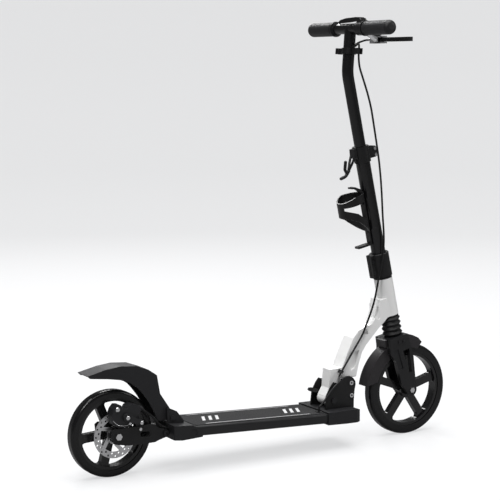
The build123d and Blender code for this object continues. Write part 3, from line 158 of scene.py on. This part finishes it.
# ------------------------------------------------------------------ bolts, bearings and bright tubes
# Zinc-plated steel bolts and nuts, ground bearing rings and the chromed pull-out tubes of the grips. The
# bolts of the stem clamp, the fork crown, the fold hinge and the rear hinges are blackened.
bolt_steel = finish("bolt_steel", (0.66, 0.66, 0.67), 0.24, metallic=1.0, grain=0.15)
bolt_dark = finish("bolt_dark", (0.03, 0.03, 0.032), 0.34, metallic=0.6, grain=0.15)
dress(bolt_steel, "deck_bolts", "steerer_tube", "fork_slider", "suspension_spring", "front_bearings",
      "rear_bearings", "disc_bolts", "rear_axle", "left_handle_tube", "right_handle_tube", "stem_bolts",
      "fork_fasteners")
HEIGHT_COLLAR_FOOT = 0.64    # the stem's bolts below this are blackened
FORK_AXLE_TOP = 0.17         # the fork's fasteners above this are
BRACKET_FRONT = 0.2          # the deck's bolts behind this are
dress_where(bolt_dark, "stem_bolts", lambda c: c.z < HEIGHT_COLLAR_FOOT)
dress_where(bolt_dark, "fork_fasteners", lambda c: c.z > FORK_AXLE_TOP)
dress_where(bolt_dark, "deck_bolts", lambda c: c.x < BRACKET_FRONT)


def repeat(name, body, material, places, aim, radius, depth, sides):
    """Copies of one small prism on every place, facing along aim, made by Geometry Nodes, kept as a mesh."""
    tree = bpy.data.node_groups.new(name, "GeometryNodeTree")
    tree.interface.new_socket(name="Geometry", in_out="INPUT", socket_type="NodeSocketGeometry")
    sockets = {}
    for label, kind in (("Radius", "NodeSocketFloat"), ("Depth", "NodeSocketFloat"),
                        ("Aim", "NodeSocketVector"), ("Material", "NodeSocketMaterial")):
        socket = tree.interface.new_socket(name=label, in_out="INPUT", socket_type=kind)
        sockets[label] = socket.identifier
    tree.interface.new_socket(name="Geometry", in_out="OUTPUT", socket_type="NodeSocketGeometry")
    start = tree.nodes.new("NodeGroupInput")
    prism = tree.nodes.new("GeometryNodeMeshCylinder")
    prism.inputs["Vertices"].default_value = sides
    turn = tree.nodes.new("FunctionNodeAlignRotationToVector")
    turn.axis = "Z"
    spread = tree.nodes.new("GeometryNodeInstanceOnPoints")
    solid = tree.nodes.new("GeometryNodeRealizeInstances")
    paint = tree.nodes.new("GeometryNodeSetMaterial")
    end = tree.nodes.new("NodeGroupOutput")
    for source, target in ((start.outputs["Radius"], prism.inputs["Radius"]),
                           (start.outputs["Depth"], prism.inputs["Depth"]),
                           (start.outputs["Aim"], turn.inputs["Vector"]),
                           (start.outputs["Geometry"], spread.inputs["Points"]),
                           (prism.outputs["Mesh"], spread.inputs["Instance"]),
                           (turn.outputs["Rotation"], spread.inputs["Rotation"]),
                           (spread.outputs["Instances"], solid.inputs["Geometry"]),
                           (solid.outputs["Geometry"], paint.inputs["Geometry"]),
                           (start.outputs["Material"], paint.inputs["Material"]),
                           (paint.outputs["Geometry"], end.inputs["Geometry"])):
        tree.links.new(source, target)
    seeds = bpy.data.meshes.new(name)
    seeds.from_pydata([tuple(place) for place in places], [], [])
    piece = bpy.data.objects.new(name, seeds)
    bpy.context.scene.collection.objects.link(piece)
    modifier = piece.modifiers.new("repeat", "NODES")
    modifier.node_group = tree
    modifier[sockets["Radius"]] = radius
    modifier[sockets["Depth"]] = depth
    modifier[sockets["Aim"]] = aim
    modifier[sockets["Material"]] = material
    bpy.context.view_layer.update()
    made = bpy.data.meshes.new_from_object(piece.evaluated_get(bpy.context.evaluated_depsgraph_get()))
    piece.modifiers.clear()
    piece.data = made
    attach(piece, body)


# The bolt heads' hex sockets are not cut. Each is a thin near-black hexagon lying on its head, painted shade
# standing in for the dark inside of the socket.
socket_shade = finish("socket_shade", (0.004, 0.004, 0.004), 0.6)
SOCKET_SIDES = 6
SOCKET_DEPTH = 0.0004
BRACKET_SOCKET_R = 0.0024
SWING_SOCKET_R = 0.003
BRACKET_HEAD_Y = 0.0381      # outer faces of the bolt heads, from the middle
SWING_HEAD_Y = 0.049
for name, side in (("bracket_sockets", -1), ("bracket_sockets_left", 1)):
    repeat(name, "deck", socket_shade,
           [(0.215, side * BRACKET_HEAD_Y, 0.154), (0.216, side * BRACKET_HEAD_Y, 0.123)],
           (0, side, 0), BRACKET_SOCKET_R, SOCKET_DEPTH, SOCKET_SIDES)
repeat("swing_sockets", "deck", socket_shade,
       [(-0.298, -SWING_HEAD_Y, 0.094), (-0.298, SWING_HEAD_Y, 0.094)],
       (0, -1, 0), SWING_SOCKET_R, SOCKET_DEPTH, SOCKET_SIDES)

# ------------------------------------------------------------------ brake lever body and button
# Polished cast lever body under a black bar clamp, and the bright sprung button that locks the left grip in
# the bar. The lever's blade is black like the brackets.
bright_cast = finish("bright_cast", (0.74, 0.74, 0.75), 0.2, metallic=1.0, grain=0.1)
dress(bright_cast, "brake_lever_mount", "left_button")
BAR_CLAMP_FOOT = 0.998
dress_where(satin_black, "brake_lever_mount", lambda c: c.z > BAR_CLAMP_FOOT)

# ------------------------------------------------------------------ rear brake
# Ground stainless disc with drilled vents, a dark cast caliper with a bright adjuster and bolts, and the
# spring wire that opens the arm.
disc_steel = finish("disc_steel", (0.6, 0.6, 0.61), 0.3, metallic=1.0, grain=0.35, grain_scale=1400.0)
dress(disc_steel, "brake_disc")
dark_cast = finish("dark_cast", (0.02, 0.02, 0.022), 0.38, metallic=0.2, grain=0.3)
dress(dark_cast, "brake_caliper", "caliper_arm")


def new_piece(name, mesh, body):
    """A detail piece made from a mesh, moving with one body."""
    piece = bpy.data.objects.new(name, mesh)
    bpy.context.scene.collection.objects.link(piece)
    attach(piece, body)


def turned(name, body, material, place, aim, profile, sides=32):
    """A round piece turned from (radius, height) points about an axis through place along aim."""
    mesh = bpy.data.meshes.new(name)
    shape = bmesh.new()
    rotation = Vector(aim).to_track_quat("Z", "Y")
    rings = []
    for radius, height in profile:
        ring = []
        for step in range(sides):
            angle = 2 * math.pi * step / sides
            local = Vector((radius * math.cos(angle), radius * math.sin(angle), height))
            ring.append(shape.verts.new(Vector(place) + rotation @ local))
        rings.append(ring)
    for lower, upper in zip(rings, rings[1:]):
        for step in range(sides):
            after = (step + 1) % sides
            shape.faces.new((lower[step], lower[after], upper[after], upper[step]))
    shape.faces.new(list(reversed(rings[0])))
    shape.faces.new(rings[-1])
    bmesh.ops.recalc_face_normals(shape, faces=shape.faces)
    shape.to_mesh(mesh)
    shape.free()
    mesh.materials.append(material)
    new_piece(name, mesh, body)


def wire(name, body, material, points, radius):
    """A bent wire through the points, kept as a mesh."""
    curve = bpy.data.curves.new(name, "CURVE")
    curve.dimensions = "3D"
    curve.bevel_depth = radius
    curve.bevel_resolution = 4
    curve.use_fill_caps = True
    line = curve.splines.new("NURBS")
    line.points.add(len(points) - 1)
    for point, place in zip(line.points, points):
        point.co = (*place, 1.0)
    line.use_endpoint_u = True
    line.order_u = 3
    line.resolution_u = 8
    holder = bpy.data.objects.new(name + "_line", curve)
    bpy.context.scene.collection.objects.link(holder)
    bpy.context.view_layer.update()
    mesh = bpy.data.meshes.new_from_object(holder.evaluated_get(bpy.context.evaluated_depsgraph_get()))
    bpy.data.objects.remove(holder)
    mesh.materials.clear()
    mesh.materials.append(material)
    new_piece(name, mesh, body)


CALIPER_FACE = -0.048        # y of the caliper's outer face
ARM_FACE = -0.0553
SPRING_Y = -0.0492
turned("caliper_knob", "swingarm", bolt_steel, (-0.421, CALIPER_FACE, 0.163), (0, -1, 0),
       [(0.0052, 0.0), (0.0052, 0.0032), (0.0044, 0.004)])
turned("caliper_low_bolt", "swingarm", bolt_steel, (-0.39, CALIPER_FACE, 0.128), (0, -1, 0),
       [(0.0034, 0.0), (0.0034, 0.002), (0.0028, 0.0026)])
turned("caliper_arm_nut", "caliper_arm", bolt_steel, (-0.399, ARM_FACE, 0.143), (0, -1, 0),
       [(0.0052, 0.0), (0.0052, 0.0028), (0.0044, 0.0034)], sides=6)
turned("caliper_arm_clamp", "caliper_arm", bolt_steel, (-0.365, ARM_FACE, 0.128), (0, -1, 0),
       [(0.0046, 0.0), (0.0046, 0.0026), (0.004, 0.0031)], sides=6)
turned("barrel_adjuster", "swingarm", bolt_dark, (-0.3605, -0.038, 0.1589), (0.8, 0, -0.6),
       [(0.0048, 0.0), (0.0052, 0.0006), (0.0052, 0.0044), (0.0048, 0.005)], sides=18)
wire("caliper_spring", "swingarm", bolt_steel,
     [(x, SPRING_Y, z) for x, z in ((-0.432, 0.139), (-0.424, 0.1285), (-0.408, 0.124), (-0.392, 0.1255),
                                    (-0.38, 0.1345))], 0.0009)

# ------------------------------------------------------------------ fenders and deck caps
# Injection-moulded plastic with a fine matte texture, duller than any painted piece. The front fender is a
# slightly warmer grey than the rear one.
moulded_grey = finish("moulded_grey", (0.013, 0.013, 0.0145), 0.5, grain=0.3)
dress(moulded_grey, "rear_fender", "front_deck_cap", "rear_deck_cap")
fender_warm = finish("fender_warm", (0.023, 0.021, 0.023), 0.46, grain=0.25)
dress(fender_warm, "front_fender")

# ------------------------------------------------------------------ wheels
# Smooth cast polyurethane tyres on glossy black moulded rims with five spokes each. Both are plain black,
# and the rims have a clear gloss over the colour.
rim_black = finish("rim_black", (0.007, 0.007, 0.0075), 0.24, grain=0.08, coat=0.3)
dress(rim_black, "front_rim", "rear_rim")
tyre_black = finish("tyre_black", (0.007, 0.007, 0.0075), 0.2, grain=0.06)
dress(tyre_black, "front_tyre", "rear_tyre")

# ------------------------------------------------------------------ cage, hook and cable clips
# Moulded black nylon with a soft sheen: the bottle cage, the bag hook, the twin clip on the stem, the neck's
# cable clip and the fold lever.
moulded_black = finish("moulded_black", (0.008, 0.008, 0.0085), 0.36, grain=0.15)
dress(moulded_black, "bottle_cage", "bag_hook", "clip_collar", "cable_clip", "fold_lever")

# ------------------------------------------------------------------ grips
# Soft dark grey rubber with rows of fine dimples, and a plain, slightly darker band at the flange by the
# stem and at the rounded outer end.
GRIP_FLANGE_END = 0.0705     # distances from the middle, along the bar
GRIP_DOME_START = 0.1585
grip_rubber = finish("grip_rubber", (0.02, 0.02, 0.0215), 0.5, grain=0.25)
tree = grip_rubber.node_tree
place = tree.nodes.new("ShaderNodeTexCoord")
cells = tree.nodes.new("ShaderNodeTexVoronoi")
cells.inputs["Scale"].default_value = 330.0
cells.inputs["Randomness"].default_value = 0.0
tree.links.new(place.outputs["Object"], cells.inputs["Vector"])
dimple = tree.nodes.new("ShaderNodeBump")
dimple.inputs["Strength"].default_value = 0.7
dimple.inputs["Distance"].default_value = 0.0008
tree.links.new(cells.outputs["Distance"], dimple.inputs["Height"])
tree.links.new(dimple.outputs["Normal"], tree.nodes["Principled BSDF"].inputs["Normal"])
grip_smooth = finish("grip_smooth", (0.014, 0.014, 0.015), 0.45, grain=0.15)
dress(grip_rubber, "left_grip", "right_grip")
for name in ("left_grip", "right_grip"):
    dress_where(grip_smooth, name, lambda c: not GRIP_FLANGE_END <= abs(c.y) <= GRIP_DOME_START)

# ------------------------------------------------------------------ deck surface
# Coarse black grit film glued along the deck, with plain pale strokes printed across it at the front and
# rear and one thin stroke along each side.
GRIT_SCALE = 2200.0
DECK_SLOPE = math.radians(2.2)
DECK_TOP = 0.0966            # height of the deck's surface at x = 0
STROKE_LIFT = 0.00112        # from the deck's surface to just over the film
STROKE_WIDTH = 0.008
STROKE_HALF = 0.02           # half of a stroke's reach across the deck
STROKE_SLANT = 0.018
tape_black = finish("tape_black", (0.012, 0.012, 0.013), 0.82, grain=1.0, grain_scale=GRIT_SCALE)
dress(tape_black, "grip_tape")
print_pale = finish("print_pale", (0.55, 0.55, 0.56), 0.6, grain=0.6, grain_scale=GRIT_SCALE)


def on_deck(along, across):
    """A point just over the film on the sloping deck."""
    return Vector((along * math.cos(DECK_SLOPE), across,
                   DECK_TOP - along * math.sin(DECK_SLOPE) + STROKE_LIFT / math.cos(DECK_SLOPE)))


def stroke(name, corners):
    """A thin printed patch on the deck's grit film."""
    mesh = bpy.data.meshes.new(name)
    mesh.from_pydata([on_deck(*corner) for corner in corners], [], [tuple(range(len(corners)))])
    mesh.materials.append(print_pale)
    new_piece(name, mesh, "deck")


for end, starts in (("front", (0.07, 0.052, 0.034)), ("rear", (-0.19, -0.172, -0.154))):
    for index, start in enumerate(starts):
        stroke(f"{end}_stroke_{index}", [(start, -STROKE_HALF), (start + STROKE_WIDTH, -STROKE_HALF),
                                         (start + STROKE_SLANT + STROKE_WIDTH, STROKE_HALF),
                                         (start + STROKE_SLANT, STROKE_HALF)])
stroke("side_stroke_right", [(-0.2, -0.05), (0.09, -0.05), (0.085, -0.0475), (-0.195, -0.0475)])
stroke("side_stroke_left", [(-0.2, 0.05), (-0.195, 0.0475), (0.085, 0.0475), (0.09, 0.05)])

# ------------------------------------------------------------------ rubber boot, bush and grommets
# The boot is stretched between the fork crown and the head with the coil spring inside it. The bush and the
# cable's grommets are the same soft black rubber.
rubber_black = finish("rubber_black", (0.008, 0.008, 0.0085), 0.5, grain=0.25)
dress(rubber_black, "fork_boot", "swing_bush", "cable_grommets")


LONGEST_EDGE = 0.006         # edges over this are cut, so a bend stays smooth
SPLITS = 2


def bending(name):
    """A copy of a CAD piece with its long edges cut, shown in its place instead of the piece."""
    mesh = nodes[name].data.copy()
    shape = bmesh.new()
    shape.from_mesh(mesh)
    for _ in range(SPLITS):
        long_edges = [edge for edge in shape.edges if edge.calc_length() > LONGEST_EDGE]
        if long_edges:
            bmesh.ops.subdivide_edges(shape, edges=long_edges, cuts=1)
    bmesh.ops.triangulate(shape, faces=shape.faces)
    shape.to_mesh(mesh)
    shape.free()
    piece = bpy.data.objects.new(name + "_bending", mesh)
    bpy.context.scene.collection.objects.link(piece)
    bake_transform(piece)
    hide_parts(name)
    return piece


bending("fork_boot")
bending("suspension_spring")

# ------------------------------------------------------------------ brake cable
# Black sleeved cable in five lengths. The four that cross a joint (the telescopic stem, the steering, the
# fold hinge and the swingarm) are swapped for copies with shorter edges. The one inside the deck stays as it
# is.
cable_black = finish("cable_black", (0.007, 0.007, 0.0075), 0.3, grain=0.08)
dress(cable_black, "brake_cable_handlebar", "brake_cable_stem", "brake_cable_neck", "brake_cable_deck",
      "brake_cable_rear")
for name, moved_by, to, start, end in (
        ("brake_cable_handlebar", "handlebar", "steering", (0.224, -0.042, 0.945), (0.2735, -0.037, 0.784)),
        ("brake_cable_stem", "steering", "neck", (0.3094, -0.024, 0.606), (0.2955, -0.0285, 0.387)),
        ("brake_cable_neck", "neck", "deck", (0.2, -0.027, 0.193), (0.131, -0.041, 0.116)),
        ("brake_cable_rear", "deck", "swingarm", (-0.293, -0.03725, 0.1041), (-0.342, -0.038, 0.145))):
    bending(name)

# ------------------------------------------------------------------ studio
# A pale seamless bowl whose glow only the camera sees, so it stays bright without lighting the black pieces.
# One broad soft light overhead does most of the work, with a weak key, fill and rim.
SWEEP_GLOW = 0.62
WORLD_STRENGTH = 0.1
SWEEP_SIDES = 96
low, high = cad_box
centre = (Vector(low) + Vector(high)) / 2
sweep_mesh = bpy.data.meshes.new("sweep")
bowl = bmesh.new()
profile = [(3.0, 0.0), (5.0, 0.0), (6.5, 0.25), (7.6, 1.0), (8.3, 2.3), (8.6, 4.5), (8.6, 9.0)]
turns = [2 * math.pi * step / SWEEP_SIDES for step in range(SWEEP_SIDES)]
rings = [[bowl.verts.new((radius * math.cos(turn), radius * math.sin(turn), height)) for turn in turns]
         for radius, height in profile]
bowl.faces.new(rings[0])
for lower, upper in zip(rings, rings[1:]):
    for step in range(SWEEP_SIDES):
        after = (step + 1) % SWEEP_SIDES
        bowl.faces.new((lower[step], lower[after], upper[after], upper[step]))
bmesh.ops.recalc_face_normals(bowl, faces=bowl.faces)
for face in bowl.faces:
    face.smooth = True
bowl.to_mesh(sweep_mesh)
bowl.free()
sweep = bpy.data.objects.new("sweep", sweep_mesh)
bpy.context.scene.collection.objects.link(sweep)
sweep_paint = finish("sweep_paint", (0.24, 0.24, 0.242), 0.95, tone=0.005)
tree = sweep_paint.node_tree
seen = tree.nodes.new("ShaderNodeLightPath")
lift = tree.nodes.new("ShaderNodeMath")
lift.operation = "MULTIPLY"
lift.inputs[1].default_value = SWEEP_GLOW
tree.links.new(seen.outputs["Is Camera Ray"], lift.inputs[0])
tree.links.new(lift.outputs["Value"], tree.nodes["Principled BSDF"].inputs["Emission Strength"])
tree.nodes["Principled BSDF"].inputs["Emission Color"].default_value = (0.985, 0.99, 1.0, 1.0)
sweep_mesh.materials.append(sweep_paint)

world = bpy.data.worlds.new("studio")
world.use_nodes = True
world.node_tree.nodes["Background"].inputs["Color"].default_value = (0.95, 0.96, 0.98, 1.0)
world.node_tree.nodes["Background"].inputs["Strength"].default_value = WORLD_STRENGTH
bpy.context.scene.world = world


def soft_light(name, place, size, power):
    """A round area light aimed at the middle of the scooter."""
    lamp = bpy.data.lights.new(name, "AREA")
    lamp.shape = "DISK"
    lamp.size = size
    lamp.energy = power
    holder = bpy.data.objects.new(name, lamp)
    holder.location = place
    holder.rotation_euler = (centre - Vector(place)).to_track_quat("-Z", "Y").to_euler()
    bpy.context.scene.collection.objects.link(holder)


soft_light("overhead", (0.0, 0.0, 6.0), 7.0, 640.0)
soft_light("key", (-2.6, -2.2, 3.4), 1.2, 60.0)
soft_light("fill", (2.8, -2.4, 2.0), 1.0, 22.0)
soft_light("rim", (1.0, 3.2, 2.6), 1.2, 40.0)

CAMERA_PLACE = (-1.8228, -3.0146, 0.910)
CAMERA_AIM = (0.5032, 0.856, -0.1184)
camera = bpy.data.objects.new("camera", bpy.data.cameras.new("camera"))
camera.location = CAMERA_PLACE
camera.rotation_euler = Vector(CAMERA_AIM).to_track_quat("-Z", "Y").to_euler()
camera.data.sensor_width = 36.0
camera.data.lens = 108.0
bpy.context.scene.collection.objects.link(camera)
bpy.context.scene.camera = camera
bpy.context.scene.view_settings.view_transform = "Standard"
